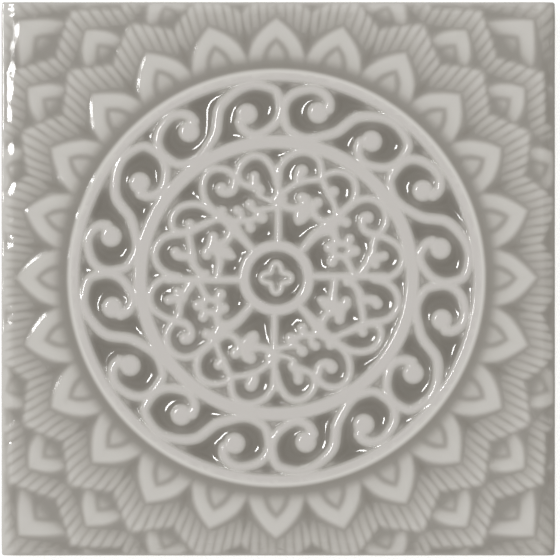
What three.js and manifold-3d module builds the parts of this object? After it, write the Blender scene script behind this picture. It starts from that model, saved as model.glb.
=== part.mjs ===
import * as THREE from 'three';
import { mergeVertices } from 'three/addons/utils/BufferGeometryUtils.js';
import Module from 'manifold-3d';

// Relief wall tile, face up, lying on its back. Millimetres, +Z up.

// Body of the tile.
const tileSide = 148;
const topCornerRadius = 0.4;
const edgeEase = 0.9;
const edgeEaseSteps = 2;
const medallionGround = 7.0;
const fieldGround = 7.6;

// Heights of the relief above its own ground.
const scrollRelief = 2.9;
const petalRelief = 1.6;
const windowRelief = 0.25;
const kernelRelief = 1.0;
const zigzagRelief = 1.2;
const tileHeight = medallionGround + scrollRelief;

// The ornament was pressed a little off the tile's centre.
const ornamentShift = { x: -0.48, y: 0.22 };

// Plain rings about the ornament's centre.
const rosetteRing = { inner: 7.5, width: 2.3, segments: 40 };
const innerBand = { inner: 34.8, width: 3.1, segments: 72 };
const outerBand = { inner: 52.85, width: 2.95, segments: 72 };

// Quatrefoil ridge in the rosette: its radius swings about a mean, four times round.
const quatrefoil = { mean: 3.1, swing: 0.91, halfWidth: 0.67, lobes: 4, segments: 24 };

// Outer field: rows of petals, each a leaf with a sunk window and a kernel in it, between zigzag rings.
// A row's offset is in petals; bow says how long an outline stays wide before it closes at its tip.
const petalCount = 24;
const petalRows = [
  {
    offset: 0,
    leaf: { base: 57.8, tip: 69.8, halfWidth: 7.2, bow: 2.6 },
    window: { base: 57.5, tip: 64.4, halfWidth: 4.5, bow: 3.4 },
    kernel: { base: 58.0, tip: 62.6, halfWidth: 2.1, bow: 3.0 },
  },
  {
    offset: 0.5,
    leaf: { base: 75.4, tip: 83.2, halfWidth: 6.5, bow: 1.65 },
    window: { base: 75.1, tip: 79.6, halfWidth: 4.0, bow: 1.5 },
    kernel: { base: 74.4, tip: 77.4, halfWidth: 1.5, bow: 2.0 },
  },
  {
    offset: 0,
    leaf: { base: 86.4, tip: 97.2, halfWidth: 10.2, bow: 1.68 },
    window: { base: 86.1, tip: 91.3, halfWidth: 4.8, bow: 2.0 },
    kernel: { base: 86.2, tip: 89.5, halfWidth: 2.1, bow: 2.5 },
  },
];
const leafSamples = 4;
const insetSamples = 3;
const zigzagRings = [
  { offset: 0, outerPeak: 78.4, outerValley: 71.5, peakWidth: 7.5, valleyWidth: 5.4 },
  { offset: 0.5, outerPeak: 89.9, outerValley: 83.5, peakWidth: 5.5, valleyWidth: 4.4 },
  { offset: 0, outerPeak: 104.4, outerValley: 97.4, peakWidth: 6.4, valleyWidth: 5.1 },
];

// The scrolls are drawn on a grid of this pitch, from the ornament's centre.
const drawingStep = 0.2676;

// Frieze: half of one S-scroll as angle in degrees, radius and half width in drawing steps.
// The other half is the same line turned about the middle of the scroll.
const friezeCount = 8;
const friezeMiddle = { angle: 20.5, radius: 168.3 };
const friezeHalf = [
  [20.5, 168.3, 4.4], [22, 160, 4.4], [23.8, 154.5, 4.4], [26.5, 149.3, 4.3], [30, 144.3, 4.2],
  [34, 142.3, 4.0], [38, 145, 3.9], [40.9, 150, 3.9], [42.2, 160, 3.9], [42.5, 170, 3.9],
  [41.2, 180, 3.9], [38.3, 187.5, 4.0], [34, 192.3, 4.1], [30.6, 190.3, 4.2], [28.4, 184, 4.3],
  [27.9, 177, 4.8],
];
const friezeBud = { angle: 30.8, radius: 170.3, size: 9.6, segments: 12 };

// Medallion: strokes as x, y and half width in drawing steps. Half of the medallion is drawn,
// its right and its left quarter, and the other half is the same turned half round.
const rightQuarter = [
  [[1.8, 34, 3.2], [2, 72, 3.4], [2, 110, 3.4]],
  [[2, 100, 3.2], [2.5, 107, 3.2], [5.5, 113.5, 3.2], [11, 120, 3.4], [19, 124.5, 3.5], [28, 126, 3.5],
    [37, 123.5, 3.5], [43, 117.5, 3.3], [45, 110, 3.2], [45.3, 101, 3.2]],
  [[45.3, 99, 3.2], [38, 98, 2.8], [30, 97.2, 2.8], [24, 95.5, 3.2], [17, 92.5, 2.8], [11, 88.3, 3.0],
    [6, 84.5, 3.6], [1, 80.5, 3.4]],
  [[22, 97, 4], [23, 102, 5], [25.5, 107, 5.6]],
  [[46, 98, 3.2], [49.5, 90.5, 3.2], [52.5, 84.5, 3.4], [55.5, 78.5, 3.0], [58, 72.5, 2.6], [59.8, 66, 3.2]],
  [[46, 101, 3.2], [52, 104.3, 2.8], [59, 106, 2.9], [65, 105.9, 3.2], [71.5, 103.5, 3.4], [77, 98.5, 3.5],
    [79.4, 91, 3.5], [79, 83, 3.4], [75.7, 75.5, 3.3], [70, 69.5, 3.3], [63, 63.5, 3.8]],
  [[54, 83, 4], [57.3, 86.5, 4.7]],
  [[2, 75, 4.6], [9, 71.5, 3.8], [15, 69.5, 3.6], [22, 69.5, 4.5], [29, 73, 4.8], [29.8, 78, 4.8],
    [25.5, 80, 5]],
  [[52, 56, 4.5], [46, 57, 3.2], [40.5, 60.3, 3.4], [37, 66, 4], [37.5, 72, 4.6], [41, 75.3, 4.8]],
  [[30, 74, 5.5], [28, 67, 8.5], [24, 60.5, 6.5], [22, 56.2, 3]],
  [[2, 79, 6], [7, 79, 4]],
  [[24.5, 26.5, 3.7], [31, 34.5, 4], [38, 42, 4.6], [46, 47.5, 5.6], [53, 50.5, 7.6], [58.5, 57.5, 6.5]],
  [[62, 62, 4.2], [68, 67.5, 3.6], [74, 72.2, 3.4], [80, 76.2, 3.3], [86.5, 78.8, 3.3], [93.5, 79.2, 3.4],
    [101, 76.5, 3.5], [107, 70.5, 3.5], [109.7, 62, 3.5], [109, 54, 3.4], [105.5, 47.5, 3.3],
    [101.5, 42.5, 3.3]],
  [[102, 43, 3.4], [95, 44.2, 3.8], [89.5, 46.5, 3.6], [86.2, 51, 3.6], [85.8, 56.5, 4.2], [88, 60, 5],
    [91, 60.3, 5.5]],
  [[101.5, 41.8, 3.3], [108.5, 40.4, 3.1], [114, 37.8, 3.1], [119.5, 34.3, 3.2], [124, 29.3, 3.4],
    [126.5, 22.5, 3.5], [126.3, 15, 3.4], [122, 7.3, 3.3], [115, 1.8, 3.3], [107, -1.5, 3.2],
    [98, -1.5, 3.2]],
  [[99.5, 41, 3.2], [97.4, 36, 3.2], [96.6, 30, 3.2], [96, 25, 3.8], [94, 19.5, 4.5], [90.8, 14, 4.2],
    [87.3, 9, 4.5], [83, 3, 4]],
  [[94, 20, 4.5], [101, 20.5, 4.2], [107.3, 22, 4.2]],
  [[95, 17, 4.5], [98.8, 13.5, 4]],
  [[62, 59, 5], [69.5, 55.7, 4.7]],
  [[57.5, 45, 4.5], [59.5, 38.8, 4], [64, 34.7, 3.6], [70, 35, 3.8], [73, 39, 4.4]],
  [[60, 36.5, 3.6], [56.5, 33.5, 4], [52.3, 30.2, 4.5]],
  [[62, 22.5, 3], [57.5, 20, 4], [55.7, 16.3, 4.9]],
  [[59, 34, 3.8], [57, 28, 4.2], [58.5, 22, 3.6]],
  [[78, 3, 3.4], [75, 9, 3.2], [72.3, 15, 3.2], [70, 20, 3.6], [73, 24.5, 4.4], [78.3, 27, 5]],
  [[70, 20, 3.4], [64.5, 21.7, 3], [59, 21.5, 3.6]],
  [[74.5, 27, 3.6], [72, 32.5, 3.6]],
];
const leftQuarter = [
  [[-38, 99, 3.4], [-38.5, 106, 3.3], [-35, 114, 3.4], [-28, 120.4, 3.5], [-19.5, 122.3, 3.5],
    [-11.5, 119.3, 3.4], [-5.5, 112, 3.3], [-1.5, 103, 3.2], [0.5, 95, 3.2]],
  [[-39, 98, 3.5], [-33, 94.3, 3.0], [-27, 92, 3.4], [-20.5, 90.5, 4.5], [-16.5, 88, 4.6], [-17, 83.5, 3.2],
    [-13, 80, 2.0], [-8, 78.3, 2.2], [1, 76, 3.4]],
  [[-21, 92, 4.5], [-22, 98, 4.5], [-22, 101.7, 4.3]],
  [[-56, 63, 4.0], [-64, 69, 3.4], [-70, 76, 3.2], [-73.2, 85, 3.2], [-73.3, 95, 3.2], [-70, 103.3, 3.3],
    [-63, 108.6, 3.4], [-55, 109.3, 3.4], [-47, 106.5, 3.3], [-40.5, 100.5, 3.5]],
  [[-41, 99, 3.6], [-42, 92.5, 4.0], [-44.2, 87.5, 4.2], [-49, 85.5, 4.2], [-53.5, 87, 5.2],
    [-54.8, 89, 5.8]],
  [[-55, 61, 5], [-54, 66.8, 4.3]],
  [[-22, 26.5, 3.7], [-30, 35.5, 3.8], [-36, 42.3, 4.6], [-42, 49, 6.8], [-45, 54, 6.2], [-52, 59.5, 5.2],
    [-57, 63.5, 4.6]],
  [[-43, 55, 4.4], [-37, 57, 3.4], [-35, 61.5, 3.2], [-36.7, 66, 4], [-39, 67.5, 4.3]],
  [[-29, 57, 3.2], [-27, 53, 4.2], [-26, 50.3, 4.6]],
  [[-37, 57.3, 3.2], [-29, 57, 3], [-23, 58.5, 3.2], [-18, 61, 4]],
  [[-17, 67, 3.4], [-16, 63, 4.4], [-14.3, 60.3, 5.2]],
  [[0, 70.5, 3.4], [-6, 69.4, 2.6], [-12, 68.3, 2.8], [-18, 66.8, 3.2], [-23, 69.3, 3.4], [-26, 73.3, 4.8]],
  [[-34, -1.7, 3.6], [-72, -1.7, 3.6], [-108, -1.7, 3.4]],
  [[-88, 46.5, 3.6], [-97, 44, 3.4], [-105, 43.2, 3.4], [-112.5, 40.3, 3.4], [-118.5, 34.5, 3.4],
    [-121.7, 27, 3.4], [-121.3, 18.5, 3.4], [-117, 10.5, 3.3], [-110.5, 5.2, 3.3], [-103, 2, 3.3],
    [-96, -0.5, 3.2]],
  [[-87.5, 46, 3.4], [-86.5, 38, 3.2], [-85.3, 30, 3.4], [-84, 22, 4], [-83.2, 15.5, 4], [-80, 9.7, 3.5],
    [-75.5, 4.5, 3.8], [-70, 0, 3.6]],
  [[-85, 22, 4.2], [-93, 21.7, 4.2], [-98, 23, 4.8], [-100.5, 25.7, 4.8]],
  [[-88, 46.3, 3.6], [-97, 45.8, 3.4], [-103.2, 49.5, 3.2], [-104.6, 57, 3.2], [-102.2, 64.5, 3.2],
    [-96, 70.7, 3.2], [-88, 73.4, 3.2], [-79, 73.5, 3.2], [-71, 71, 3.2], [-64, 67, 3.6], [-57, 62.5, 4.2]],
  [[-88, 46.5, 3.6], [-83, 48.3, 4], [-76, 51.7, 3.6], [-69, 54.7, 3], [-62, 57.8, 3], [-55, 61, 4.4]],
  [[-84, 50, 4.2], [-86.3, 54, 4.3]],
  [[-43, 49, 5], [-46.5, 42, 3.8], [-51, 36.5, 3.8], [-57, 33.8, 4.2], [-62, 36.5, 4.6], [-63, 41, 4.7]],
  [[-59, 0, 3.4], [-57.5, 9, 3.3], [-56.5, 17, 3.8], [-58.5, 25, 4.6], [-64, 28.5, 4.8], [-69, 26.3, 4.9],
    [-69.5, 23.5, 4.8]],
  [[-64, 37, 4.2], [-65.5, 30, 4.6]],
  [[-63, 33, 4.8], [-57, 28.5, 6.6], [-50.5, 25.5, 6.4], [-45.5, 22.3, 3.8], [-43, 21.3, 2.2]],
];
const strokeSamples = 2;
const strokeEndSegments = 8;

// Outlines are thinned to this closeness, reliefs are rooted this deep, cutters run this far past.
const outlineTolerance = 0.22;
const rootDepth = 0.3;
const cutterRun = 1;

const wasm = await Module();
wasm.setup();

function solidFrom(geometry) {
  const bare = geometry.index ? geometry.toNonIndexed() : geometry.clone();
  bare.deleteAttribute('normal');
  bare.deleteAttribute('uv');
  const welded = mergeVertices(bare, 1e-4);
  const mesh = new wasm.Mesh({
    numProp: 3,
    vertProperties: Float32Array.from(welded.attributes.position.array),
    triVerts: Uint32Array.from(welded.index.array),
  });
  return new wasm.Manifold(mesh);
}

function geometryFrom(solid) {
  const mesh = solid.getMesh();
  const geometry = new THREE.BufferGeometry();
  geometry.setAttribute('position', new THREE.BufferAttribute(Float32Array.from(mesh.vertProperties), 3));
  geometry.setIndex(Array.from(mesh.triVerts));
  geometry.computeVertexNormals();
  return geometry;
}

function unite(solids) {
  return solids.reduce((sum, solid) => sum.add(solid));
}

function polar(degrees, radius) {
  const angle = THREE.MathUtils.degToRad(degrees);
  return [radius * Math.cos(angle), radius * Math.sin(angle)];
}

function turn([x, y, ...rest], degrees) {
  const [c, s] = polar(degrees, 1);
  return [c * x - s * y, s * x + c * y, ...rest];
}

function drawn(point) {
  return point.map((value) => value * drawingStep);
}

// Straight-walled prism between two heights over an outline about the ornament's centre.
function prism(outline, bottom, top, holes = []) {
  const toVectors = (points) => points.map(([x, y]) => new THREE.Vector2(x, y));
  const shape = new THREE.Shape(toVectors(outline));
  for (const hole of holes) {
    shape.holes.push(new THREE.Path(toVectors(hole)));
  }
  const geometry = new THREE.ExtrudeGeometry(shape, { depth: top - bottom, bevelEnabled: false });
  geometry.translate(ornamentShift.x, ornamentShift.y, bottom);
  return solidFrom(geometry);
}

function circle(radius, segments) {
  return Array.from({ length: segments }, (_, i) => polar((360 * i) / segments, radius));
}

function disc([x, y, radius], bottom, top, segments) {
  return prism(circle(radius, segments).map(([dx, dy]) => [x + dx, y + dy]), bottom, top);
}

function ring(band, bottom, top) {
  const outer = circle(band.inner + band.width, band.segments);
  return prism(outer, bottom, top, [circle(band.inner, band.segments)]);
}

// Smooth line through points of x, y and half width, sampled evenly between them.
function smoothLine(points) {
  const curve = new THREE.CatmullRomCurve3(points.map(([x, y, w]) => new THREE.Vector3(x, y, w)));
  curve.curveType = 'centripetal';
  const count = (points.length - 1) * strokeSamples;
  return Array.from({ length: count + 1 }, (_, i) => curve.getPoint(i / count).toArray());
}

function stroke(points, bottom, top) {
  const line = smoothLine(points);
  const left = [];
  const right = [];
  line.forEach(([x, y, w], i) => {
    const before = line[Math.max(i - 1, 0)];
    const after = line[Math.min(i + 1, line.length - 1)];
    const dx = after[0] - before[0];
    const dy = after[1] - before[1];
    const scale = w / Math.hypot(dx, dy);
    left.push([x - dy * scale, y + dx * scale]);
    right.push([x + dy * scale, y - dx * scale]);
  });
  const body = prism(right.concat(left.reverse()), bottom, top);
  return [body, disc(points[points.length - 1], bottom, top, strokeEndSegments)];
}

// Closed loops round the flat upper face of a solid, about the ornament's centre.
// Outer loops run to the left, holes run to the right.
function topLoops(solid, top) {
  const mesh = solid.getMesh();
  const positions = mesh.vertProperties;
  const onTop = (v) => Math.abs(positions[3 * v + 2] - top) < 1e-3;
  const edges = new Map();
  for (let t = 0; t < mesh.triVerts.length; t += 3) {
    const corners = Array.from(mesh.triVerts.slice(t, t + 3));
    if (corners.every(onTop)) {
      corners.forEach((from, i) => {
        const to = corners[(i + 1) % 3];
        edges.set(`${from} ${to}`, [from, to]);
      });
    }
  }
  const next = new Map();
  for (const [from, to] of edges.values()) {
    if (!edges.has(`${to} ${from}`)) {
      next.set(from, to);
    }
  }
  const loops = [];
  while (next.size > 0) {
    const loop = [];
    let at = next.keys().next().value;
    while (next.has(at)) {
      const to = next.get(at);
      next.delete(at);
      loop.push([positions[3 * at] - ornamentShift.x, positions[3 * at + 1] - ornamentShift.y]);
      at = to;
    }
    loops.push(loop);
  }
  return loops;
}

// Leaves out the points of a loop that lie within the tolerance of the line past them.
function thinned(loop) {
  const points = loop.slice();
  const fewest = 4;
  let removed = true;
  while (removed) {
    removed = false;
    for (let i = 0; i < points.length && points.length > fewest; i += 1) {
      const before = points[(i + points.length - 1) % points.length];
      const after = points[(i + 1) % points.length];
      const dx = after[0] - before[0];
      const dy = after[1] - before[1];
      const area = Math.abs(dx * (points[i][1] - before[1]) - dy * (points[i][0] - before[0]));
      if (area < outlineTolerance * Math.hypot(dx, dy)) {
        points.splice(i, 1);
        removed = true;
      }
    }
  }
  return points;
}

function inside([x, y], loop) {
  let within = false;
  loop.forEach(([ax, ay], i) => {
    const [bx, by] = loop[(i + 1) % loop.length];
    if ((ay > y) !== (by > y) && x < ((bx - ax) * (y - ay)) / (by - ay) + ax) {
      within = !within;
    }
  });
  return within;
}

function loopArea(loop) {
  return THREE.ShapeUtils.area(loop.map(([x, y]) => new THREE.Vector2(x, y)));
}

// One relief over the joined outline of many overlapping prisms, in as few faces as it needs.
function carvedRelief(solids, outlineTop, bottom, top) {
  const loops = topLoops(unite(solids), outlineTop).map(thinned);
  const outers = loops.filter((loop) => loopArea(loop) > 0).sort((a, b) => loopArea(a) - loopArea(b));
  const holes = loops.filter((loop) => loopArea(loop) < 0);
  const parts = outers.map((outer) => prism(outer, bottom, top));
  for (const hole of holes) {
    const around = outers.findIndex((outer) => inside(hole[0], outer));
    parts[around] = parts[around].subtract(prism(hole, bottom - cutterRun, top + cutterRun));
  }
  return parts;
}

function friezeScrolls(bottom, top) {
  const across = ([a, r, ...rest]) => [2 * friezeMiddle.angle - a, 2 * friezeMiddle.radius - r, ...rest];
  const whole = friezeHalf.slice(1).reverse().map(across).concat(friezeHalf);
  const bud = [friezeBud.angle, friezeBud.radius, friezeBud.size];
  const solids = [];
  for (let k = 0; k < friezeCount; k += 1) {
    const place = ([a, r, w]) => drawn([...polar(a + (360 * k) / friezeCount, r), w]);
    solids.push(...stroke(whole.map(place), bottom, top));
    for (const end of [bud, across(bud)]) {
      solids.push(disc(place(end), bottom, top, friezeBud.segments));
    }
  }
  return solids;
}

function medallionScrolls(bottom, top) {
  const solids = [];
  for (const degrees of [0, 180]) {
    for (const points of [...rightQuarter, ...leftQuarter]) {
      solids.push(...stroke(points.map((point) => turn(drawn(point), degrees)), bottom, top));
    }
  }
  return solids;
}

function quatrefoilRidge(bottom, top) {
  const edge = (shift) => circle(1, quatrefoil.segments).map(([c, s]) => {
    const swing = quatrefoil.swing * Math.cos(quatrefoil.lobes * Math.atan2(s, c));
    const radius = quatrefoil.mean + swing + shift;
    return [c * radius, s * radius];
  });
  return prism(edge(quatrefoil.halfWidth), bottom, top, [edge(-quatrefoil.halfWidth)]);
}

// Medallion, frieze and plain rings: their outlines are joined first, then raised as one relief.
function scrollwork() {
  const outlineTop = 1;
  return carvedRelief([
    ...friezeScrolls(0, outlineTop),
    ...medallionScrolls(0, outlineTop),
    quatrefoilRidge(0, outlineTop),
    ...[rosetteRing, innerBand, outerBand].map((band) => ring(band, 0, outlineTop)),
  ], outlineTop, medallionGround - rootDepth, tileHeight);
}

// Pointed outline about a ray from the centre: widest at the base, closing at the tip.
function leafOutline({ base, tip, halfWidth, bow }, degrees, samples) {
  const side = Array.from({ length: samples }, (_, i) => {
    const t = i / samples;
    return [base + (tip - base) * t, halfWidth * (1 - t ** bow)];
  });
  const points = side.map(([r, w]) => [r, -w]).concat([[tip, 0]], side.slice().reverse());
  return points.map((point) => turn(point, degrees));
}

function petals(row) {
  const places = Array.from({ length: petalCount }, (_, k) => (360 * (k + row.offset)) / petalCount);
  const raised = (part, samples, bottom, top) => unite(
    places.map((at) => prism(leafOutline(part, at, samples), fieldGround + bottom, fieldGround + top)),
  );
  const leaves = raised(row.leaf, leafSamples, -rootDepth, petalRelief);
  const windows = raised(row.window, insetSamples, windowRelief, petalRelief + cutterRun);
  const kernels = raised(row.kernel, insetSamples, -rootDepth, kernelRelief);
  return leaves.subtract(windows).add(kernels);
}

function zigzag(row) {
  const line = (peak, valley) => Array.from({ length: petalCount }, (_, k) => [
    polar((360 * (k + row.offset)) / petalCount, peak),
    polar((360 * (k + row.offset + 0.5)) / petalCount, valley),
  ]).flat();
  const outer = line(row.outerPeak, row.outerValley);
  const inner = line(row.outerPeak - row.peakWidth, row.outerValley - row.valleyWidth);
  return prism(outer, fieldGround - rootDepth, fieldGround + zigzagRelief, [inner]);
}

// Slab up to the field's ground, with the lower ground of the medallion sunk into it.
function groundSlab() {
  const slab = new THREE.BoxGeometry(2 * tileSide, 2 * tileSide, fieldGround);
  slab.translate(0, 0, fieldGround / 2);
  const rim = circle(outerBand.inner + outerBand.width / 2, outerBand.segments);
  return solidFrom(slab).subtract(prism(rim, medallionGround, fieldGround + cutterRun));
}

// Block with the tile's outline and its eased upper edge; everything is cut to it.
function envelope() {
  const half = tileSide / 2 - edgeEase;
  const middle = half - topCornerRadius;
  const shape = new THREE.Shape();
  [[1, -1], [1, 1], [-1, 1], [-1, -1]].forEach(([sx, sy], corner) => {
    for (const degrees of [-90, -45, 0]) {
      const [dx, dy] = polar(degrees + 90 * corner, topCornerRadius);
      if (shape.curves.length === 0 && degrees === -90) {
        shape.moveTo(sx * middle + dx, sy * middle + dy);
      } else {
        shape.lineTo(sx * middle + dx, sy * middle + dy);
      }
    }
  });
  const eased = new THREE.ExtrudeGeometry(shape, {
    depth: tileHeight,
    bevelEnabled: true,
    bevelThickness: edgeEase,
    bevelSize: edgeEase,
    bevelSegments: edgeEaseSteps,
  });
  eased.translate(0, 0, -edgeEase);
  const block = new THREE.BoxGeometry(2 * tileSide, 2 * tileSide, tileHeight);
  block.translate(0, 0, tileHeight / 2);
  return solidFrom(eased).intersect(solidFrom(block));
}

function tileSolid() {
  const raised = [...scrollwork(), ...zigzagRings.map(zigzag), ...petalRows.map(petals)];
  return unite([groundSlab(), ...raised]).intersect(envelope());
}

const glaze = new THREE.MeshStandardMaterial({ color: 0xc3c1bc, roughness: 0.15, metalness: 0 });
const tile = new THREE.Mesh(geometryFrom(tileSolid()), glaze);
tile.name = 'relief_tile';

const group = new THREE.Group();
group.name = 'relief_glazed_tile';
group.add(tile);

export default group;
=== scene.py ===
import math

import bmesh
import bpy
import numpy as np
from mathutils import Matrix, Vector


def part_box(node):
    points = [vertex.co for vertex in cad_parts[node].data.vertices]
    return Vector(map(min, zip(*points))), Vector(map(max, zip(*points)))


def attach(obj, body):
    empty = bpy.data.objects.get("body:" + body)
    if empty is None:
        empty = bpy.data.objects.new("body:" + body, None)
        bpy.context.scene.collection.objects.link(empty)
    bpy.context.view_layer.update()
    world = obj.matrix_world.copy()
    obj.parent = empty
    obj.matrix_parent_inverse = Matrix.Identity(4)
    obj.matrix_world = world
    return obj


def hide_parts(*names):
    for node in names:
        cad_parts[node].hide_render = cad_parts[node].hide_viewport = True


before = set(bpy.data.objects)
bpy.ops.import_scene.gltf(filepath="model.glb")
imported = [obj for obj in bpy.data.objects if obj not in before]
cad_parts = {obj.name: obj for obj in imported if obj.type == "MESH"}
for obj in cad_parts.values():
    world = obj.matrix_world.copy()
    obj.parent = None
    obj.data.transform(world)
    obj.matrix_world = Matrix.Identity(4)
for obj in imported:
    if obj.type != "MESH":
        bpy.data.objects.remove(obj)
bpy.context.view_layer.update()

# Glazed relief tile, face up. The relief is worked out in millimetres on a fine square net, as height
# above the flat back, and the net is then closed down to the back as one body.

tile = {
    "node": "relief_tile",
    "netPitch": 0.2,            # mm between the lines of the net
    "quickPitch": 0.4,
    "trianglesKept": 175000,    # on the face, after thinning where it is smooth
    "medallionGround": 7.0,
    "fieldGround": 7.6,
    "fieldLift": (1.95, 1.1),   # mm the glaze fills its channels, beside the outer band and further out
    "liftReach": (57.5, 68.0),  # radii between which it changes
    "fieldShare": 0.31,         # share of the drawn relief that is left above the glaze
    "fieldFlow": 0.42,          # mm of softening of the field by the thick glaze on it
    "bandFlow": 1.2,            # mm inside the outer band's edge where that softening starts
    "edgeFlow": (1.2, 4.5),     # mm of softening along the tile's edge, and over how wide a strip
    "crest": 9.85,              # top of scrolls and plain rings
    "ornamentShift": (-0.48, 0.22),
    "edgeFall": (4.3, 1.2, 0.5),    # mm from the side where the face starts to fall and stops, and drop
    "edgeRound": (0.7, 0.6),    # width and drop of the rounding at the very edge
    "cornerRound": 0.7,
    "glazeFlow": 0.2,           # mm of softening by the melted glaze
    "hollowFlow": 0.8,          # mm of softening low in the hollows, where it stands thick
    "hollowShare": (0.2, 0.5),  # share of the scrolls' height below which it does so
    "backBevel": 0.5,
    "sharpAngle": 60,           # degrees, above which an edge isn't shaded smooth
}

# Plain raised rings. A wall starts to fall so many mm inside its outline, the crown, over its width;
# a higher shoulder makes its upper bend tighter and a lower foot its lower bend wider
rings = {
    "rosette": (7.5, 9.8),      # inner and outer radius, mm
    "innerBand": (34.8, 37.9),
    "outerBand": (52.85, 55.8),
    "wall": {"crown": 1.05, "width": 1.2, "shoulder": 10, "foot": 2.8},
}

# Four-lobed ridge in the rosette
quatrefoil = {"mean": 3.1, "swing": 0.91, "halfWidth": 0.67, "lobes": 4, "points": 60}

# S-scrolls between the bands: half of one, as degrees, radius and half width, on the drawing's net
frieze = {
    "drawingStep": 0.2676,      # mm
    "count": 8,
    "middle": (20.5, 168.3),
    "half": [
        (20.5, 168.3, 4.4), (22, 160, 4.4), (23.8, 154.5, 4.4), (26.5, 149.3, 4.3), (30, 144.3, 4.2),
        (34, 142.3, 4), (38, 145, 3.9), (40.9, 150, 3.9), (42.2, 160, 3.9), (42.5, 170, 3.9),
        (41.2, 180, 3.9), (38.3, 187.5, 4), (34, 192.3, 4.1), (30.6, 190.3, 4.2), (28.4, 184, 4.3),
        (27.9, 177, 4.8),
    ],
    "bud": (30.8, 170.3, 9.6),
    "wall": {"crown": 1.3, "width": 1.35, "shoulder": 4.5, "foot": 2.5},
    "web": 0.5,                 # mm of filling where strokes meet
}

# Strokes are measured so many mm around; beyond that a point counts as far
brush = {"reach": 2.4, "far": 9.0}

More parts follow.
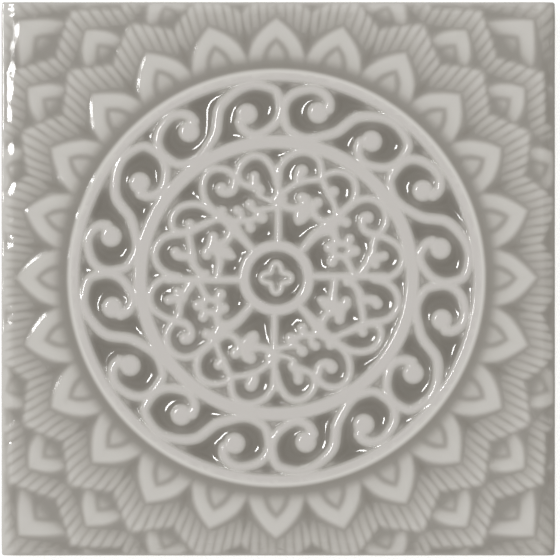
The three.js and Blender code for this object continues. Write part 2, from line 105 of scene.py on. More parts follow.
# Medallion strokes as x, y and half width on the drawing's net, for its right and left quarters;
# the lower half of the medallion is the same turned half round
medallion = {
    "drawingStep": 0.2676,      # mm
    "wall": {"crown": 1.35, "width": 1.35, "shoulder": 4.5, "foot": 2.5},
    "web": 0.5,
    "rightQuarter": [
        [(1.8, 34, 3.2), (2, 72, 3.2), (2, 110, 3.2)],
        [(2, 100, 3.2), (2.5, 107, 3.2), (5.5, 113.5, 3.2), (11, 120, 3.4), (19, 124.5, 3.5),
         (28, 126, 3.5), (37, 123.5, 3.5), (43, 117.5, 3.3), (45, 110, 3.2), (45.3, 101, 3.2)],
        [(45.3, 99, 3.2), (38, 98, 2.8), (30, 97.2, 2.8), (24, 95.5, 3.2), (17, 92.5, 2.8), (11, 88.3, 3),
         (6, 84.5, 3.6), (1, 80.5, 3.4)],
        [(22, 97, 4), (23, 102, 5), (25.5, 107, 5.6)],
        [(46, 98, 3.2), (49.5, 90.5, 3.2), (52.5, 84.5, 3.4), (55.5, 78.5, 3), (58, 72.5, 2.6),
         (59.8, 66, 3.2)],
        [(46, 101, 3.2), (52, 104.3, 2.8), (59, 106, 2.9), (65, 105.9, 3.2), (71.5, 103.5, 3.4),
         (77, 98.5, 3.5), (79.4, 91, 3.5), (79, 83, 3.4), (75.7, 75.5, 3.3), (70, 69.5, 3.3),
         (63, 63.5, 3.8)],
        [(54, 83, 4), (57.3, 86.5, 4.7)],
        [(2, 75, 4.6), (9, 71.5, 3.8), (15, 69.5, 3.6), (22, 69.5, 4.5), (29, 73, 4.8), (29.8, 78, 4.8),
         (25.5, 80, 5)],
        [(52, 56, 4.5), (46, 57, 3.2), (40.5, 60.3, 3.4), (37, 66, 4), (37.5, 72, 4.6), (41, 75.3, 4.8)],
        [(30, 74, 5.5), (28, 67, 8.5), (24, 60.5, 6.5), (22, 56.2, 3)],
        [(2, 79, 6), (7, 79, 4)],
        [(24.5, 26.5, 3.7), (31, 34.5, 4), (38, 42, 4.6), (46, 47.5, 5.6), (53, 50.5, 7.6),
         (58.5, 57.5, 6.5)],
        [(62, 62, 4.2), (68, 67.5, 3.6), (74, 72.2, 3.4), (80, 76.2, 3.3), (86.5, 78.8, 3.3),
         (93.5, 79.2, 3.4), (101, 76.5, 3.5), (107, 70.5, 3.5), (109.7, 62, 3.5), (109, 54, 3.4),
         (105.5, 47.5, 3.3), (101.5, 42.5, 3.3)],
        [(102, 43, 3.4), (95, 44.2, 3.8), (89.5, 46.5, 3.6), (86.2, 51, 3.6), (85.8, 56.5, 4.2),
         (88, 60, 5), (91, 60.3, 5.5)],
        [(101.5, 41.8, 3.3), (108.5, 40.4, 3.1), (114, 37.8, 3.1), (119.5, 34.3, 3.2), (124, 29.3, 3.4),
         (126.5, 22.5, 3.5), (126.3, 15, 3.4), (122, 7.3, 3.3), (115, 1.8, 3.3), (107, -1.5, 3.2),
         (98, -1.5, 3.2)],
        [(99.5, 41, 3.2), (97.4, 36, 3.2), (96.6, 30, 3.2), (96, 25, 3.8), (94, 19.5, 4.5),
         (90.8, 14, 4.2), (87.3, 9, 4.5), (83, 3, 4)],
        [(94, 20, 4.5), (101, 20.5, 4.2), (107.3, 22, 4.2)],
        [(95, 17, 4.5), (98.8, 13.5, 4)],
        [(62, 59, 5), (69.5, 55.7, 4.7)],
        [(57.5, 45, 4.5), (59.5, 38.8, 4), (64, 34.7, 3.6), (70, 35, 3.8), (73, 39, 4.4)],
        [(60, 36.5, 3.6), (56.5, 33.5, 4), (52.3, 30.2, 4.5)],
        [(62, 22.5, 3), (57.5, 20, 4), (55.7, 16.3, 4.9)],
        [(59, 34, 3.8), (57, 28, 4.2), (58.5, 22, 3.6)],
        [(78, 3, 3.4), (75, 9, 3.2), (72.3, 15, 3.2), (70, 20, 3.6), (73, 24.5, 4.4), (78.3, 27, 5)],
        [(70, 20, 3.4), (64.5, 21.7, 3), (59, 21.5, 3.6)],
        [(74.5, 27, 3.6), (72, 32.5, 3.6)],
    ],
    "leftQuarter": [
        [(-38, 99, 3.4), (-38.5, 106, 3.3), (-35, 114, 3.4), (-28, 120.4, 3.5), (-19.5, 122.3, 3.5),
         (-11.5, 119.3, 3.4), (-5.5, 112, 3.3), (-1.5, 103, 3.2), (0.5, 95, 3.2)],
        [(-39, 98, 3.5), (-33, 94.3, 3), (-27, 92, 3.4), (-20.5, 90.5, 4.5), (-16.5, 88, 4.6),
         (-17, 83.5, 3.2), (-13, 80, 2), (-8, 78.3, 2.2), (1, 76, 3.4)],
        [(-21, 92, 4.5), (-22, 98, 4.5), (-22, 101.7, 4.3)],
        [(-56, 63, 4), (-64, 69, 3.4), (-70, 76, 3.2), (-73.2, 85, 3.2), (-73.3, 95, 3.2),
         (-70, 103.3, 3.3), (-63, 108.6, 3.4), (-55, 109.3, 3.4), (-47, 106.5, 3.3), (-40.5, 100.5, 3.5)],
        [(-41, 99, 3.6), (-42, 92.5, 4), (-44.2, 87.5, 4.2), (-49, 85.5, 4.2), (-53.5, 87, 5.2),
         (-54.8, 89, 5.8)],
        [(-55, 61, 5), (-54, 66.8, 4.3)],
        [(-22, 26.5, 3.7), (-30, 35.5, 3.8), (-36, 42.3, 4.6), (-42, 49, 6.8), (-45, 54, 6.2),
         (-52, 59.5, 5.2), (-57, 63.5, 4.6)],
        [(-43, 55, 4.4), (-37, 57, 3.4), (-35, 61.5, 3.2), (-36.7, 66, 4), (-39, 67.5, 4.3)],
        [(-29, 57, 3.2), (-27, 53, 4.2), (-26, 50.3, 4.6)],
        [(-37, 57.3, 3.2), (-29, 57, 3), (-23, 58.5, 3.2), (-18, 61, 4)],
        [(-17, 67, 3.4), (-16, 63, 4.4), (-14.3, 60.3, 5.2)],
        [(0, 70.5, 3.4), (-6, 69.4, 2.6), (-12, 68.3, 2.8), (-18, 66.8, 3.2), (-23, 69.3, 3.4),
         (-26, 73.3, 4.8)],
        [(-34, -1.7, 3.6), (-72, -1.7, 3.6), (-108, -1.7, 3.4)],
        [(-88, 46.5, 3.6), (-97, 44, 3.4), (-105, 43.2, 3.4), (-112.5, 40.3, 3.4), (-118.5, 34.5, 3.4),
         (-121.7, 27, 3.4), (-121.3, 18.5, 3.4), (-117, 10.5, 3.3), (-110.5, 5.2, 3.3), (-103, 2, 3.3),
         (-96, -0.5, 3.2)],
        [(-87.5, 46, 3.4), (-86.5, 38, 3.2), (-85.3, 30, 3.4), (-84, 22, 4), (-83.2, 15.5, 4),
         (-80, 9.7, 3.5), (-75.5, 4.5, 3.8), (-70, 0, 3.6)],
        [(-85, 22, 4.2), (-93, 21.7, 4.2), (-98, 23, 4.8), (-100.5, 25.7, 4.8)],
        [(-88, 46.3, 3.6), (-97, 45.8, 3.4), (-103.2, 49.5, 3.2), (-104.6, 57, 3.2), (-102.2, 64.5, 3.2),
         (-96, 70.7, 3.2), (-88, 73.4, 3.2), (-79, 73.5, 3.2), (-71, 71, 3.2), (-64, 67, 3.6),
         (-57, 62.5, 4.2)],
        [(-88, 46.5, 3.6), (-83, 48.3, 4), (-76, 51.7, 3.6), (-69, 54.7, 3), (-62, 57.8, 3),
         (-55, 61, 4.4)],
        [(-84, 50, 4.2), (-86.3, 54, 4.3)],
        [(-43, 49, 5), (-46.5, 42, 3.8), (-51, 36.5, 3.8), (-57, 33.8, 4.2), (-62, 36.5, 4.6),
         (-63, 41, 4.7)],
        [(-59, 0, 3.4), (-57.5, 9, 3.3), (-56.5, 17, 3.8), (-58.5, 25, 4.6), (-64, 28.5, 4.8),
         (-69, 26.3, 4.9), (-69.5, 23.5, 4.8)],
        [(-64, 37, 4.2), (-65.5, 30, 4.6)],
        [(-63, 33, 4.8), (-57, 28.5, 6.6), (-50.5, 25.5, 6.4), (-45.5, 22.3, 3.8), (-43, 21.3, 2.2)],
        [(-76, 4, 4), (-70, 4.5, 3.4)],
    ],
}

# Petals: base, tip, half width and bow of each outline, mm; bow says how long it stays wide
petalRows = {
    "count": 24,
    "rows": [
        {"offset": 0, "foot": 58.5, "leaf": (57.0, 69.2, 7.3, 2.3), "window": (56.8, 64.3, 3.7, 2.8),
         "kernel": (57.5, 62.8, 2.1, 2.6), "floor": 0.3, "kernelTop": 1.35},
        {"offset": 0.5, "foot": 75.3, "leaf": (75.2, 83.3, 5.6, 2.1), "window": (75.0, 78.9, 3.1, 1.6),
         "kernel": (73.6, 77.4, 1.9, 2.4), "floor": 0.4, "kernelTop": 1.3},
        {"offset": 0, "foot": 88.0, "leaf": (86.4, 97.1, 9.0, 1.35), "window": (86.1, 91.4, 4.6, 2.0),
         "kernel": (86.2, 90.2, 2.2, 2.5), "floor": 0.35, "kernelTop": 1.1},
    ],
    "relief": 1.65,
    "leafWall": {"crown": 0.95, "width": 1.05, "shoulder": 4, "foot": 3},
    "windowWall": {"crown": 0.75, "width": 0.75, "shoulder": 3.2, "foot": 3.2},
    "footWall": {"crown": 2.0, "width": 2.0, "shoulder": 3, "foot": 3},
    "footDrop": 0.35,           # share of the relief lost at the foot of a petal
    "climbLength": 6.0,         # mm over which it climbs to its full relief
    "underlap": 1.5,            # mm that a petal runs on below its base
    "leastBow": 0.05,           # share of its length below which the slope of its side is held
    "pastTip": 1.2,             # share up to which its outline narrows on beyond its tip
    "rootDrop": 0.35,           # share by which a petal stands lower at its root than at its tip
}

petalPitch = 2 * math.pi / petalRows["count"]

# Zigzag rings: radius of the outer edge at peak and valley, and of the inner edge, mm. Each climbs
# from its inner edge to a crest just inside the outer one, and has so many flutes to a petal
zigzags = {
    "rings": [
        {"offset": 0, "outer": (78.2, 71.8), "inner": (68.8, 63.8), "flutes": 8},
        {"offset": 0.5, "outer": (89.9, 83.2), "inner": (82.6, 77.6), "flutes": 9},
        {"offset": 0, "outer": (104.6, 97.4), "inner": (96.4, 90.4), "flutes": 9},
    ],
    "relief": 1.45,
    "valleyDrop": 0.22,         # share of the relief lost at the valleys
    "outerWall": {"crown": 1.15, "width": 1.2, "shoulder": 3.2, "foot": 3.2},
    "crestInset": 1.0,          # mm from the outer edge to the crest
    "fluteDepth": 0.13,
    "grooveShape": 1.4,         # above 1 the grooves are narrower than the ridges
    "edgeShare": 0.35,          # share of that depth left at the tile's edge
    "fluteSway": 0.05,          # of a flute's width, how far flutes stray, and over what length, mm
    "swayLength": 9.0,
    "fluteFade": 0.35,          # how much weaker some are, and over what length, mm
    "fadeLength": 6.5,
    "tone": (1.0, 0.25),        # how light the glaze is at the peaks against a petal, less at the valleys
}

# What a hand-pressed and fired tile does to its ornament, mm
handwork = {"wander": 0.12, "wanderLength": 17.0, "level": 0.06, "levelLength": 34.0, "glazeWave": 0.035,
            "glazeWaveLength": 6.0}

# Four plain waves that cross at odd angles make one slow wave with no regular beat: their run across and
# along, and how far each is shifted. The starts keep two such waves apart
waveParts = ((0.93, 0.31, 1.0), (-0.42, 1.07, 2.1), (0.71, -0.88, 3.7), (1.31, 0.67, 5.3))
waveStart = {"across": 1.3, "along": 4.6, "sway": 3.3, "fade": 6.4, "level": 2.7, "glaze": 7.9}


def rise(distance, wall):
    # 1 on the crest and 0 far outside an outline: flat to the crown's depth inside it, then a rounded
    # shoulder and a hollow foot
    t = np.maximum(distance + wall["crown"], 0) / wall["width"]
    return (1 + t ** wall["shoulder"]) ** (-wall["foot"] / wall["shoulder"])


def smooth(t):
    # soft step from 0 to 1
    t = np.clip(t, 0, 1)
    return t * t * (3 - 2 * t)


def softMin(a, b, web):
    # the smaller of two distances, with the corner between them filled
    h = np.clip(0.5 + 0.5 * (b - a) / web, 0, 1)
    return b + (a - b) * h - web * h * (1 - h)


def blur(values, sigma, pitch):
    # softens a map of the net by sigma mm
    pad = int(4 * sigma / pitch) + 2
    padded = np.pad(values, pad, mode="edge")
    fx = np.fft.fftfreq(padded.shape[0], pitch)
    fy = np.fft.rfftfreq(padded.shape[1], pitch)
    gain = np.exp(-2 * (math.pi * sigma) ** 2 * (fx[:, None] ** 2 + fy[None, :] ** 2))
    soft = np.fft.irfft2(np.fft.rfft2(padded) * gain, s=padded.shape)
    return soft[pad:-pad, pad:-pad]


def wander(x, y, length, start):
    # about -1 to 1
    total = 0
    for across, along, shift in waveParts:
        total = total + np.sin(2 * math.pi / length * (across * x + along * y) + shift * start)
    return total / 2.6


def smoothLine(points, samples=8):
    # Catmull-Rom curve through the points; the width changes evenly between them
    points = np.array(points, float)
    before = np.vstack([2 * points[:1] - points[1:2], points[:-2]])
    start, end = points[:-1], points[1:]
    after = np.vstack([points[2:], 2 * points[-1:] - points[-2:-1]])
    t = np.linspace(0, 1, samples, endpoint=False)[None, :, None]
    a, b, c, d = (p[:, None, :] for p in (before, start, end, after))
    curve = 0.5 * (2 * b + (c - a) * t + (2 * a - 5 * b + 4 * c - d) * t ** 2
                   + (3 * b - a - 3 * c + d) * t ** 3)
    curve[:, :, 2] = (b + (c - b) * t)[:, :, 2]
    return np.vstack([curve.reshape(-1, 3), points[-1:]])


def turned(points, degrees):
    c, s = math.cos(math.radians(degrees)), math.sin(math.radians(degrees))
    return [(c * x - s * y, s * x + c * y, w) for x, y, w in points]


def fromPolar(points, degrees=0):
    return [(r * math.cos(math.radians(a + degrees)), r * math.sin(math.radians(a + degrees)), w)
            for a, r, w in points]


class Net:
    # square net over the face, in mm from the ornament's centre; tileX and tileY are measured from the
    # tile's own centre, and inward from its nearest side

    def __init__(self, low, high, pitch):
        cells = round((high[0] - low[0]) / pitch)
        self.pitch = (high[0] - low[0]) / cells
        self.cells = cells
        self.x = np.linspace(low[0], high[0], cells + 1) - tile["ornamentShift"][0]
        self.y = np.linspace(low[1], high[1], cells + 1) - tile["ornamentShift"][1]
        self.xx, self.yy = np.meshgrid(self.x, self.y, indexing="ij")
        self.radius = np.hypot(self.xx, self.yy)
        self.half = high[0]
        self.tileX, self.tileY = self.xx + tile["ornamentShift"][0], self.yy + tile["ornamentShift"][1]
        self.inward = self.half - np.maximum(np.abs(self.tileX), np.abs(self.tileY))

    def window(self, x0, x1, y0, y1):
        # the part of the net between two corners
        i0, i1 = np.searchsorted(self.x, (x0, x1))
        j0, j1 = np.searchsorted(self.y, (y0, y1))
        return slice(i0, i1), slice(j0, j1)

    def stroke(self, distance, line, web):
        # lays one brush stroke of points x, y, half width into the distance map
        line, reach = np.array(line), brush["reach"]
        widest = line[:, 2].max() + reach
        low, high = line[:, :2].min(0) - widest, line[:, :2].max(0) + widest
        area = self.window(low[0], high[0], low[1], high[1])
        own = np.full(distance[area].shape, brush["far"])
        for a, b in zip(line[:-1], line[1:]):
            far = max(a[2], b[2]) + reach
            spot = self.window(min(a[0], b[0]) - far, max(a[0], b[0]) + far,
                               min(a[1], b[1]) - far, max(a[1], b[1]) + far)
            inner = (slice(spot[0].start - area[0].start, spot[0].stop - area[0].start),
                     slice(spot[1].start - area[1].start, spot[1].stop - area[1].start))
            px, py = self.xx[spot] - a[0], self.yy[spot] - a[1]
            dx, dy = b[0] - a[0], b[1] - a[1]
            t = np.clip((px * dx + py * dy) / max(dx * dx + dy * dy, 1e-9), 0, 1)
            gap = np.hypot(px - t * dx, py - t * dy) - (a[2] + (b[2] - a[2]) * t)
            own[inner] = np.minimum(own[inner], gap)
        distance[area] = softMin(distance[area], own, web)


def scaled(points, step):
    return [(x * step, y * step, w * step) for x, y, w in points]


def medallionDistance(net):
    distance = np.full(net.xx.shape, brush["far"])
    for degrees in (0, 180):
        for stroke in medallion["rightQuarter"] + medallion["leftQuarter"]:
            line = turned(smoothLine(scaled(stroke, medallion["drawingStep"])), degrees)
            net.stroke(distance, line, medallion["web"])
    ridge = []
    for k in range(quatrefoil["points"] + 1):
        angle = 360 * k / quatrefoil["points"]
        swing = quatrefoil["swing"] * math.cos(math.radians(quatrefoil["lobes"] * angle))
        ridge.append((angle, quatrefoil["mean"] + swing, quatrefoil["halfWidth"]))
    net.stroke(distance, fromPolar(ridge), medallion["web"])
    return distance


def friezeDistance(net):
    distance = np.full(net.xx.shape, brush["far"])
    step = frieze["drawingStep"]

    def across(point):
        # the same point on the other half of the scroll, turned half round about its middle
        return (2 * frieze["middle"][0] - point[0], 2 * frieze["middle"][1] - point[1], point[2])

    whole = [across(point) for point in frieze["half"][:0:-1]] + frieze["half"]
    for k in range(frieze["count"]):
        degrees = 360 * k / frieze["count"]
        net.stroke(distance, smoothLine(scaled(fromPolar(whole, degrees), step)), frieze["web"])
        for bud in (frieze["bud"], across(frieze["bud"])):
            net.stroke(distance, scaled(fromPolar([bud, bud], degrees), step), frieze["web"])
    return distance


def ringDistance(net, ring):
    return np.maximum(ring[0] - net.radius, net.radius - ring[1])


def scrollwork(net):
    # height above the medallion's ground, 0 to 1
    bands = [rise(ringDistance(net, rings[name]), rings["wall"])
             for name in ("rosette", "innerBand", "outerBand")]
    scrolls = [rise(medallionDistance(net), medallion["wall"]), rise(friezeDistance(net), frieze["wall"])]
    height = bands[0]
    for other in bands[1:] + scrolls:
        height = np.maximum(height, other)
    return height


def leafDistance(across, along, leaf):
    # mm outside a petal's outline, less than 0 inside
    base, tip, halfWidth, bow = leaf
    t = np.clip((along - base) / (tip - base), 0, petalRows["pastTip"])
    width = halfWidth * (1 - t ** bow)
    slope = halfWidth * bow * np.maximum(t, petalRows["leastBow"]) ** (bow - 1) / (tip - base)
    return np.maximum((np.abs(across) - width) / np.sqrt(1 + slope ** 2),
                      base - along - petalRows["underlap"])


def zigzagRelief(ring, radius, angle, sway, fade):
    # height of one zigzag ring, how thin the glaze lies on it and how deep its flutes' grooves are
    turns = angle / petalPitch - ring["offset"]
    fromPeak = 2 * np.abs(turns - np.round(turns))
    outer = ring["outer"][0] + (ring["outer"][1] - ring["outer"][0]) * fromPeak
    inner = ring["inner"][0] + (ring["inner"][1] - ring["inner"][0]) * fromPeak
    slope = 2 * (ring["outer"][0] - ring["outer"][1]) / petalPitch / np.maximum(radius, 1)
    edge = rise((radius - outer) / np.sqrt(1 + slope ** 2), zigzags["outerWall"])
    climb = np.clip((radius - inner) / (outer - zigzags["crestInset"] - inner), 0, 1)
    height = edge * climb * zigzags["relief"] * (1 - zigzags["valleyDrop"] * fromPeak)
    beat = angle / petalPitch * ring["flutes"] + zigzags["fluteSway"] * sway
    flute = (1 - np.abs(np.sin(beat * math.pi))) ** zigzags["grooveShape"]
    flute *= 1 - zigzags["fluteFade"] * (1 + fade) / 2
    rim = edge * np.sqrt(climb)
    return height, rim * (zigzags["tone"][0] - zigzags["tone"][1] * fromPeak), flute * rim


def petalRelief(row, radius, angle):
    # height of one row of petals and how thin the glaze lies on it
    turns = angle / petalPitch - row["offset"]
    swing = (turns - np.round(turns)) * petalPitch
    across, along = radius * np.sin(swing), radius * np.cos(swing)
    leaf = rise(leafDistance(across, along, row["leaf"]), petalRows["leafWall"])
    window = rise(leafDistance(across, along, row["window"]), petalRows["windowWall"])
    kernel = rise(leafDistance(across, along, row["kernel"]), petalRows["windowWall"])
    climb = np.clip((radius - row["foot"]) / petalRows["climbLength"], 0, 1)
    foot = rise(row["foot"] - radius, petalRows["footWall"])
    foot *= 1 - petalRows["footDrop"] * (1 - climb) ** 2
    inside = row["floor"] + kernel * (row["kernelTop"] - row["floor"])
    height = (petalRows["relief"] + window * (inside - petalRows["relief"])) * leaf * foot
    thin = height / petalRows["relief"]
    t = np.clip((along - row["foot"]) / (row["leaf"][1] - row["foot"]), 0, 1)
    return height * (1 - petalRows["rootDrop"] * (1 - t * t)), thin


def fieldRelief(net):
    # drawn height above the field's ground without its flutes, mm, how thin the glaze lies there, 0 to
    # 1, and where a flute's groove runs, 0 to 1
    stray, length = handwork["wander"], handwork["wanderLength"]
    x = net.xx + stray * wander(net.xx, net.yy, length, waveStart["across"])
    y = net.yy + stray * wander(net.xx, net.yy, length, waveStart["along"])
    radius, angle = np.hypot(x, y), np.arctan2(y, x)
    sway = wander(net.xx, net.yy, zigzags["swayLength"], waveStart["sway"])
    fade = wander(net.xx, net.yy, zigzags["fadeLength"], waveStart["fade"])
    layers = [zigzagRelief(ring, radius, angle, sway, fade) for ring in zigzags["rings"]]
    layers += [petalRelief(row, radius, angle) + (0,) for row in petalRows["rows"]]
    height, thin, grooves = np.zeros(radius.shape), np.zeros(radius.shape), np.zeros(radius.shape)
    for newHeight, newThin, newGrooves in layers:
        above = newHeight > height
        height = np.where(above, newHeight, height)
        thin = np.where(above, newThin, thin)
        grooves = np.where(above, newGrooves, grooves)
    return height, thin, grooves


def bump(distance, reach):
    # 1 where the distance is 0, softly down to 0 at its reach
    return 1 - smooth(np.abs(distance) / reach)


def fieldPoolingAndShade(net, thin, grooves):
    # pooling of the field's glaze, with painted shade in some of its grooves and painted light and shade
    # along the tile's edges, on the same scale as the medallion's, 0 thin and light to 1 deepest and
    # darkest
    low, high = glaze["fieldPool"]
    past = net.radius - rings["outerBand"][1]
    # beyond the outer band's edge the glaze thickens and darkens, with a darker strip along the foot of its
    # wall: glaze pooling and partly painted shade of the wall
    band = 1 - smooth((past + glaze["bandEdge"][0]) / glaze["bandEdge"][1])
    poolAndShade = high + (low - high) * np.maximum(thin, band) + glaze["groovePool"] * grooves
    place, reach, depth = glaze["bandPoolAndShade"]
    poolAndShade += depth * bump(past - place, reach)
    # darker channel between the roots of the petals of row 1: glaze pooling and painted shade
    place, reach, width, depth = glaze["rootPoolAndShade"]
    turns = np.arctan2(net.yy, net.xx) / petalPitch
    across = (turns - np.floor(turns) - 0.5) * petalPitch * net.radius
    poolAndShade += depth * bump(net.radius - place, reach) * bump(across, width)
    poolAndShade += bump(net.inward, glaze["rimStrip"]) * (glaze["rimPool"] - poolAndShade)
    # painted light and shade along the tile's edges, lighter on the left and top, darker on the right and
    # bottom
    for amount, toSide in zip(glaze["edgeLightAndShade"], (-net.tileX, net.tileX, -net.tileY, net.tileY)):
        poolAndShade += amount * np.clip(1 - (net.half - toSide) / glaze["edgeStrip"], 0, 1)
    return poolAndShade


def pooledAndShaded(net, scrolls, thin, grooves):
    # the medallion's pooling follows its relief, and gives way to the field's pooling and painted shade on
    # the outer band
    inset, width = glaze["poolChange"]
    outward = np.clip((net.radius - rings["outerBand"][1] + inset) / width, 0, 1)
    poolAndShade = 1 - scrolls + (fieldPoolingAndShade(net, thin, grooves) - 1 + scrolls) * outward
    return blur(poolAndShade, tile["glazeFlow"], net.pitch)


def faceHeight(net):
    # whole face in mm above the back, before its outer edge is rounded, and its glaze's pooling together
    # with the painted light and shade
    inside = net.radius < sum(rings["outerBand"]) / 2
    scrolls = scrollwork(net)
    low, high = tile["hollowShare"]
    hollow = np.where(inside, smooth((high - scrolls) / (high - low)), 0)
    scrolls += hollow * (blur(scrolls, tile["hollowFlow"], net.pitch) - scrolls)

    relief, thin, grooves = fieldRelief(net)
    near, far = tile["liftReach"]
    nearLift, farLift = tile["fieldLift"]
    lift = nearLift + (farLift - nearLift) * smooth((net.radius - near) / (far - near))
    field = tile["fieldGround"] + lift + tile["fieldShare"] * relief
    ground = np.where(inside, tile["medallionGround"], tile["fieldGround"])
    height = np.maximum(ground + (tile["crest"] - ground) * scrolls, np.where(inside, 0, field))

    outside = np.clip(net.radius - rings["outerBand"][1] + tile["bandFlow"], 0, 1)
    height += outside * (blur(height, tile["fieldFlow"], net.pitch) - height)
    flow, strip = tile["edgeFlow"]
    height += np.clip(1 - net.inward / strip, 0, 1) * (blur(height, flow, net.pitch) - height)
    depth = zigzags["fluteDepth"] * np.clip(net.inward / strip, zigzags["edgeShare"], 1)
    height -= outside * depth * grooves
    level = wander(net.xx, net.yy, handwork["levelLength"], waveStart["level"])
    wave = wander(net.xx, net.yy, handwork["glazeWaveLength"], waveStart["glaze"])
    height += handwork["level"] * level + handwork["glazeWave"] * wave
    return blur(height, tile["glazeFlow"], net.pitch), pooledAndShaded(net, scrolls, thin, grooves)


def sampled(net, values, x, y):
    # values of the net at points given in mm from the tile's centre
    shift = tile["ornamentShift"]
    u = np.clip((x - shift[0] - net.x[0]) / net.pitch, 0, net.cells - 1e-6)
    v = np.clip((y - shift[1] - net.y[0]) / net.pitch, 0, net.cells - 1e-6)
    i, j = u.astype(int), v.astype(int)
    u, v = u - i, v - j
    near = values[i, j] * (1 - v) + values[i, j + 1] * v
    far = values[i + 1, j] * (1 - v) + values[i + 1, j + 1] * v
    return near * (1 - u) + far * u


def roundedCorners(x, y, half):
    # moves the points of each square corner patch onto a round one
    middle = half - tile["cornerRound"]
    qx, qy = np.maximum(np.abs(x) - middle, 0), np.maximum(np.abs(y) - middle, 0)
    inCorner = (qx > 0) & (qy > 0)
    pull = np.maximum(qx, qy) / np.maximum(np.hypot(qx, qy), 1e-9)
    newX = np.where(inCorner, np.sign(x) * (middle + qx * pull), x)
    newY = np.where(inCorner, np.sign(y) * (middle + qy * pull), y)
    return newX, newY


def edgeDrop(x, y, half):
    # how far the rounded upper edge falls below the face
    start, stop, fall = tile["edgeFall"]
    roll = np.zeros(x.shape)
    for beyond in (np.abs(x), np.abs(y)):
        roll += fall * smooth((beyond - half + start) / (start - stop))
    middle = half - tile["cornerRound"]
    qx, qy = np.abs(x) - middle, np.abs(y) - middle
    outside = np.hypot(np.maximum(qx, 0), np.maximum(qy, 0)) + np.minimum(np.maximum(qx, qy), 0)
    width, drop = tile["edgeRound"]
    rounding = np.clip(1 - (tile["cornerRound"] - outside) / width, 0, 1)
    return roll + drop * (1 - np.sqrt(1 - rounding ** 2))


def vertexArray(mesh):
    points = np.empty(len(mesh.vertices) * 3)
    mesh.vertices.foreach_get("co", points)
    return points.reshape(-1, 3)


def linkedObject(name, mesh):
    made = bpy.data.objects.new(name, mesh)
    bpy.context.scene.collection.objects.link(made)
    return made


def thinnedMesh(mesh, ratio):
    # fewer triangles where the face is smooth
    draft = linkedObject("draft", mesh)
    modifier = draft.modifiers.new("thin", "DECIMATE")
    modifier.ratio = ratio
    shaped = draft.evaluated_get(bpy.context.evaluated_depsgraph_get())
    thin = bpy.data.meshes.new_from_object(shaped)
    bpy.data.objects.remove(draft)
    return thin


def faceMesh(net, height):
    # the relief as a mesh, with round corners and a soft edge, thinned
    bm = bmesh.new()
    bmesh.ops.create_grid(bm, x_segments=net.cells, y_segments=net.cells, size=net.half / 1000)
    face = bpy.data.meshes.new("face")
    bm.to_mesh(face)
    bm.free()
    points = vertexArray(face) * 1000
    z = sampled(net, height, points[:, 0], points[:, 1])
    x, y = roundedCorners(points[:, 0], points[:, 1], net.half)
    z -= edgeDrop(x, y, net.half)
    face.vertices.foreach_set("co", (np.stack([x, y, z], 1) / 1000).ravel())
    face.update()
    return thinnedMesh(face, min(1, tile["trianglesKept"] / (2 * net.cells ** 2)))


def closedBody(face, half):
    # takes the face's rim down to the back, with a bevel round it, and closes the back
    bm = bmesh.new()
    bm.from_mesh(face)
    rim = [edge for edge in bm.edges if edge.is_boundary]
    bevel = tile["backBevel"] / 1000
    for level, inward in ((bevel, 0), (0, bevel)):
        grown = bmesh.ops.extrude_edge_only(bm, edges=rim)["geom"]
        rim = [item for item in grown if isinstance(item, bmesh.types.BMEdge) and item.is_boundary]
        scale = 1 - inward / (half / 1000)
        for vertex in {vertex for edge in rim for vertex in edge.verts}:
            vertex.co = (vertex.co.x * scale, vertex.co.y * scale, level)
    bmesh.ops.contextual_create(bm, geom=rim)
    bmesh.ops.recalc_face_normals(bm, faces=bm.faces)
    body = bpy.data.meshes.new("reliefTile")
    bm.to_mesh(body)
    bm.free()
    for polygon in body.polygons:
        polygon.use_smooth = True
    body.set_sharp_from_angle(angle=math.radians(tile["sharpAngle"]))
    return body


def makeTile():
    low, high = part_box(tile["node"])
    half = 500 * (high.x - low.x)
    net = Net((-half, -half), (half, half), tile["netPitch"])
    height, poolAndShade = faceHeight(net)
    print("relief worked out,", net.cells, "cells a side, up to", round(float(height.max()), 3), "mm")
    face = faceMesh(net, height)
    print("face thinned to", len(face.polygons), "faces")
    body = closedBody(face, half)

    points = vertexArray(body) * 1000
    # glaze pooling with painted light and shade, which picks the glaze's colour
    layer = body.attributes.new("glazePoolAndShade", "FLOAT", "POINT")
    layer.data.foreach_set("value", sampled(net, poolAndShade, points[:, 0], points[:, 1]).astype(np.float32))
    return linkedObject("reliefTile", body)


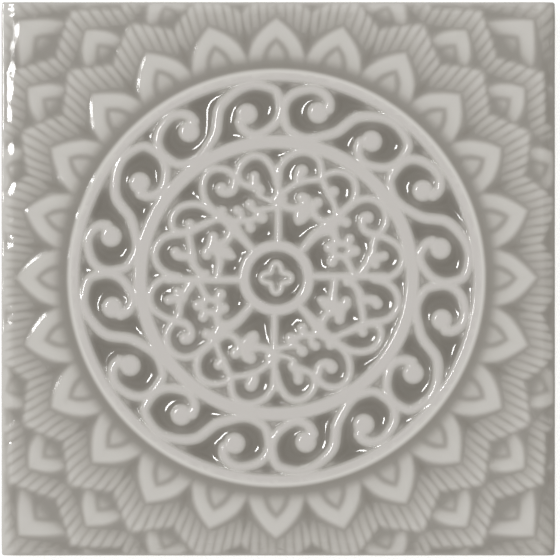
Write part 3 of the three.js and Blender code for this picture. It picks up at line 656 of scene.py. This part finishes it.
# Glazed earthenware: pressed pale clay under a thick clear grey glaze that is thin and light on crests
# and gathers darker in hollows; bare matt clay shows low on the sides and on the back. Part of the glaze's
# lightening and darkening below is painted light and shade
glaze = {
    "fieldPool": (0.4, 0.62),   # on the field's crests and in its hollows, where the glaze lies more even
    "groovePool": 0.16,         # added in the flutes' grooves
    "poolChange": (1.1, 0.6),   # mm inside the outer band's edge where the field's pooling starts, width
    "bandEdge": (0.5, 1.1),     # mm inside that edge where the glaze starts to thicken and darken, partly as painted shade of the band's wall, and over what width
    "bandPoolAndShade": (1.1, 1.3, 0.05),         # place beyond the edge, reach and depth of the darker strip along it: glaze pooling and painted shade at the foot of the band's wall
    "rootPoolAndShade": (64.0, 5.0, 1.7, 0.1),    # radius, reach, half width and depth of the darker channel between petals of row 1: glaze pooling and painted shade
    "rimPool": 0.5,             # on the tile's rim and sides
    "rimStrip": 1.2,
    "edgeLightAndShade": (-0.14, 0.12, 0.03, -0.06), # painted light and shade added along the left, right, lower and upper edge: lighter on the left and top, darker on the right and bottom, as if lit from the left
    "edgeStrip": 3.4,           # mm, over which it builds up
    # glaze colour from thin to thick; the stop at 0.2, lighter than the thinnest glaze, is painted light on
    # the shoulders of the relief
    "colours": ((0.0, "#B5B2AF"), (0.2, "#C2C0BC"), (0.4, "#B8B6B2"), (0.5, "#A19E99"), (0.6, "#85827C"),
                (0.7, "#7A766F"), (1.0, "#69655D")),
    "warmTint": "#A79E9B",
    "greenTint": "#9B9A88",
    "tintShare": 0.35,
    "tintSize": 9.0,            # mm, clouds of the two tints
    "clay": "#D8CDBB",
    "clayLine": 2.6,            # mm above the back where the glaze ends
    "clayLineSwing": 1.2,
    "clayLineLength": 7.0,
    "clayLineBlend": (-0.1, 0.2),   # mm above and below the line over which the glaze thins out
    "ior": 1.5,
    "roughness": 0.11,
    "clayRoughness": 0.85,
    "waveLength": 4.0,          # mm, slow waves of the glaze's surface
    "waveDepth": 0.02,
    "grain": 0.35,              # mm, clay grain
    "grainDepth": 0.06,
}


def linear(hexColour):
    parts = [int(hexColour[i:i + 2], 16) / 255 for i in (1, 3, 5)]
    return [p / 12.92 if p <= 0.04045 else ((p + 0.055) / 1.055) ** 2.4 for p in parts] + [1.0]


def addNode(tree, kind, settings=None, values=None, links=None):
    node = tree.nodes.new(kind)
    for name, value in (settings or {}).items():
        setattr(node, name, value)
    for name, value in (values or {}).items():
        node.inputs[name].default_value = value
    for name, socket in (links or {}).items():
        tree.links.new(socket, node.inputs[name])
    return node


def glazedEarthenware():
    material = bpy.data.materials.new("glazedEarthenware")
    material.use_nodes = True
    tree = material.node_tree
    tree.nodes.clear()
    place = addNode(tree, "ShaderNodeTexCoord").outputs["Object"]

    # the glaze's colour by its thickness and by the painted light and shade carried with it, with faint
    # warm and greenish clouds
    poolAndShade = addNode(tree, "ShaderNodeAttribute", {"attribute_name": "glazePoolAndShade"}).outputs["Fac"]
    ramp = addNode(tree, "ShaderNodeValToRGB", links={"Fac": poolAndShade})
    stops = ramp.color_ramp.elements
    for i, (position, colour) in enumerate(glaze["colours"]):
        stop = stops[i] if i < 2 else stops.new(position)
        stop.position, stop.color = position, linear(colour)
    cloud = addNode(tree, "ShaderNodeTexNoise", values={"Scale": 1000 / glaze["tintSize"], "Detail": 3.0},
                    links={"Vector": place})
    tint = addNode(tree, "ShaderNodeMix", {"data_type": "RGBA"},
                   {"A": linear(glaze["warmTint"]), "B": linear(glaze["greenTint"])},
                   {"Factor": cloud.outputs["Fac"]})
    tinted = addNode(tree, "ShaderNodeMix", {"data_type": "RGBA", "blend_type": "SOFT_LIGHT"},
                     {"Factor": glaze["tintShare"]},
                     {"A": ramp.outputs["Color"], "B": tint.outputs["Result"]})

    # bare clay below an uneven line
    parts = addNode(tree, "ShaderNodeSeparateXYZ", links={"Vector": place})
    ragged = addNode(tree, "ShaderNodeTexNoise",
                     values={"Scale": 1000 / glaze["clayLineLength"], "Detail": 4.0},
                     links={"Vector": place})
    highest = glaze["clayLine"] + glaze["clayLineSwing"] / 2
    line = addNode(tree, "ShaderNodeMath", {"operation": "MULTIPLY_ADD"},
                   {1: -glaze["clayLineSwing"] / 1000, 2: highest / 1000}, {0: ragged.outputs["Fac"]})
    below = addNode(tree, "ShaderNodeMath", {"operation": "SUBTRACT"},
                    links={0: line.outputs["Value"], 1: parts.outputs["Z"]})
    start, end = glaze["clayLineBlend"]
    bare = addNode(tree, "ShaderNodeMapRange", {"interpolation_type": "SMOOTHSTEP"},
                   {"From Min": start / 1000, "From Max": end / 1000}, {"Value": below.outputs["Value"]})
    colour = addNode(tree, "ShaderNodeMix", {"data_type": "RGBA"}, {"B": linear(glaze["clay"])},
                     {"Factor": bare.outputs["Result"], "A": tinted.outputs["Result"]})
    roughness = addNode(tree, "ShaderNodeMapRange",
                        values={"To Min": glaze["roughness"], "To Max": glaze["clayRoughness"]},
                        links={"Value": bare.outputs["Result"]})

    # slow waves of the glaze and the grain of the clay
    waves = addNode(tree, "ShaderNodeTexNoise", values={"Scale": 1000 / glaze["waveLength"], "Detail": 1.0},
                    links={"Vector": place})
    wavy = addNode(tree, "ShaderNodeBump", values={"Strength": 1.0, "Distance": glaze["waveDepth"] / 1000},
                   links={"Height": waves.outputs["Fac"]})
    grain = addNode(tree, "ShaderNodeTexNoise", values={"Scale": 1000 / glaze["grain"], "Detail": 2.0},
                    links={"Vector": place})
    grainy = addNode(tree, "ShaderNodeBump", values={"Distance": glaze["grainDepth"] / 1000},
                     links={"Height": grain.outputs["Fac"], "Strength": bare.outputs["Result"],
                            "Normal": wavy.outputs["Normal"]})
    surface = addNode(tree, "ShaderNodeBsdfPrincipled", values={"IOR": glaze["ior"]},
                      links={"Base Color": colour.outputs["Result"],
                             "Roughness": roughness.outputs["Result"],
                             "Normal": grainy.outputs["Normal"]})
    addNode(tree, "ShaderNodeOutputMaterial", links={"Surface": surface.outputs["BSDF"]})
    return material


reliefTile = makeTile()
reliefTile.data.materials.append(glazedEarthenware())
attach(reliefTile, "root")
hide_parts(tile["node"])
print("tile made")

# Studio: pale floor, a wide soft light overhead and a small one low on the left that draws the glints
studio = {
    "floorSize": 3.0,
    "floorColour": "#F6F8F9",
    "floorGlow": 0.18,          # the board is a light table
    "floorRoughness": 0.9,
    "worldColour": "#FFFFFF",
    "worldStrength": 1.08,
    "leftShare": 0.1,           # how much brighter the room is to the left than overhead
    "overhead": {"place": (-0.1, 0.15, 1.3), "size": (1.2, 1.2), "power": 1.5},
    "glint": {"place": (-0.6, 0.24, 0.77), "size": (0.36, 0.26), "power": 10},
    "cameraHeight": 0.9,        # m above the floor
    "sensorWidth": 36,          # mm
    "frameWidth": 149.7,        # mm of the tile's face that the picture's width takes in
    "frameLevel": 8.0,          # mm, the height at which that width is meant
    "frameCentre": (0.47, -0.31),
}


def makeFloor():
    bm = bmesh.new()
    bmesh.ops.create_grid(bm, x_segments=1, y_segments=1, size=studio["floorSize"] / 2)
    mesh = bpy.data.meshes.new("floor")
    bm.to_mesh(mesh)
    bm.free()
    floor = linkedObject("floor", mesh)
    paper = bpy.data.materials.new("paleBoard")
    paper.use_nodes = True
    shader = paper.node_tree.nodes["Principled BSDF"]
    shader.inputs["Base Color"].default_value = linear(studio["floorColour"])
    shader.inputs["Roughness"].default_value = studio["floorRoughness"]
    shader.inputs["Emission Color"].default_value = linear(studio["worldColour"])
    shader.inputs["Emission Strength"].default_value = studio["floorGlow"]
    floor.data.materials.append(paper)


def aimedAt(place, target=(0, 0, 0)):
    return (Vector(target) - Vector(place)).to_track_quat("-Z", "Y").to_euler()


def makeLight(name):
    spec = studio[name]
    data = bpy.data.lights.new(name, "AREA")
    data.shape, data.energy = "RECTANGLE", spec["power"]
    data.size, data.size_y = spec["size"]
    light = linkedObject(name, data)
    light.location = spec["place"]
    light.rotation_euler = aimedAt(spec["place"])
    return light


def makeCamera():
    data = bpy.data.cameras.new("camera")
    data.sensor_width = studio["sensorWidth"]
    distance = studio["cameraHeight"] - studio["frameLevel"] / 1000
    data.lens = data.sensor_width * distance / (studio["frameWidth"] / 1000)
    camera = linkedObject("camera", data)
    x, y = studio["frameCentre"]
    camera.location = (x / 1000, y / 1000, studio["cameraHeight"])
    bpy.context.scene.camera = camera


def makeRoom():
    # pale light from all round, a little stronger from the left
    world = bpy.data.worlds.new("studio")
    world.use_nodes = True
    tree = world.node_tree
    background = tree.nodes["Background"]
    background.inputs["Color"].default_value = linear(studio["worldColour"])
    place = addNode(tree, "ShaderNodeTexCoord").outputs["Generated"]
    direction = addNode(tree, "ShaderNodeSeparateXYZ", links={"Vector": place})
    mean, share = studio["worldStrength"], studio["leftShare"]
    strength = addNode(tree, "ShaderNodeMapRange",
                       values={"From Min": -1.0, "From Max": 1.0, "To Min": mean * (1 + share),
                               "To Max": mean * (1 - share)},
                       links={"Value": direction.outputs["X"]})
    tree.links.new(strength.outputs["Result"], background.inputs["Strength"])
    bpy.context.scene.world = world


makeFloor()
makeLight("overhead")
makeLight("glint").visible_diffuse = False      # it only draws glints
makeCamera()
makeRoom()
bpy.context.scene.view_settings.view_transform = "Standard"
print("studio made")
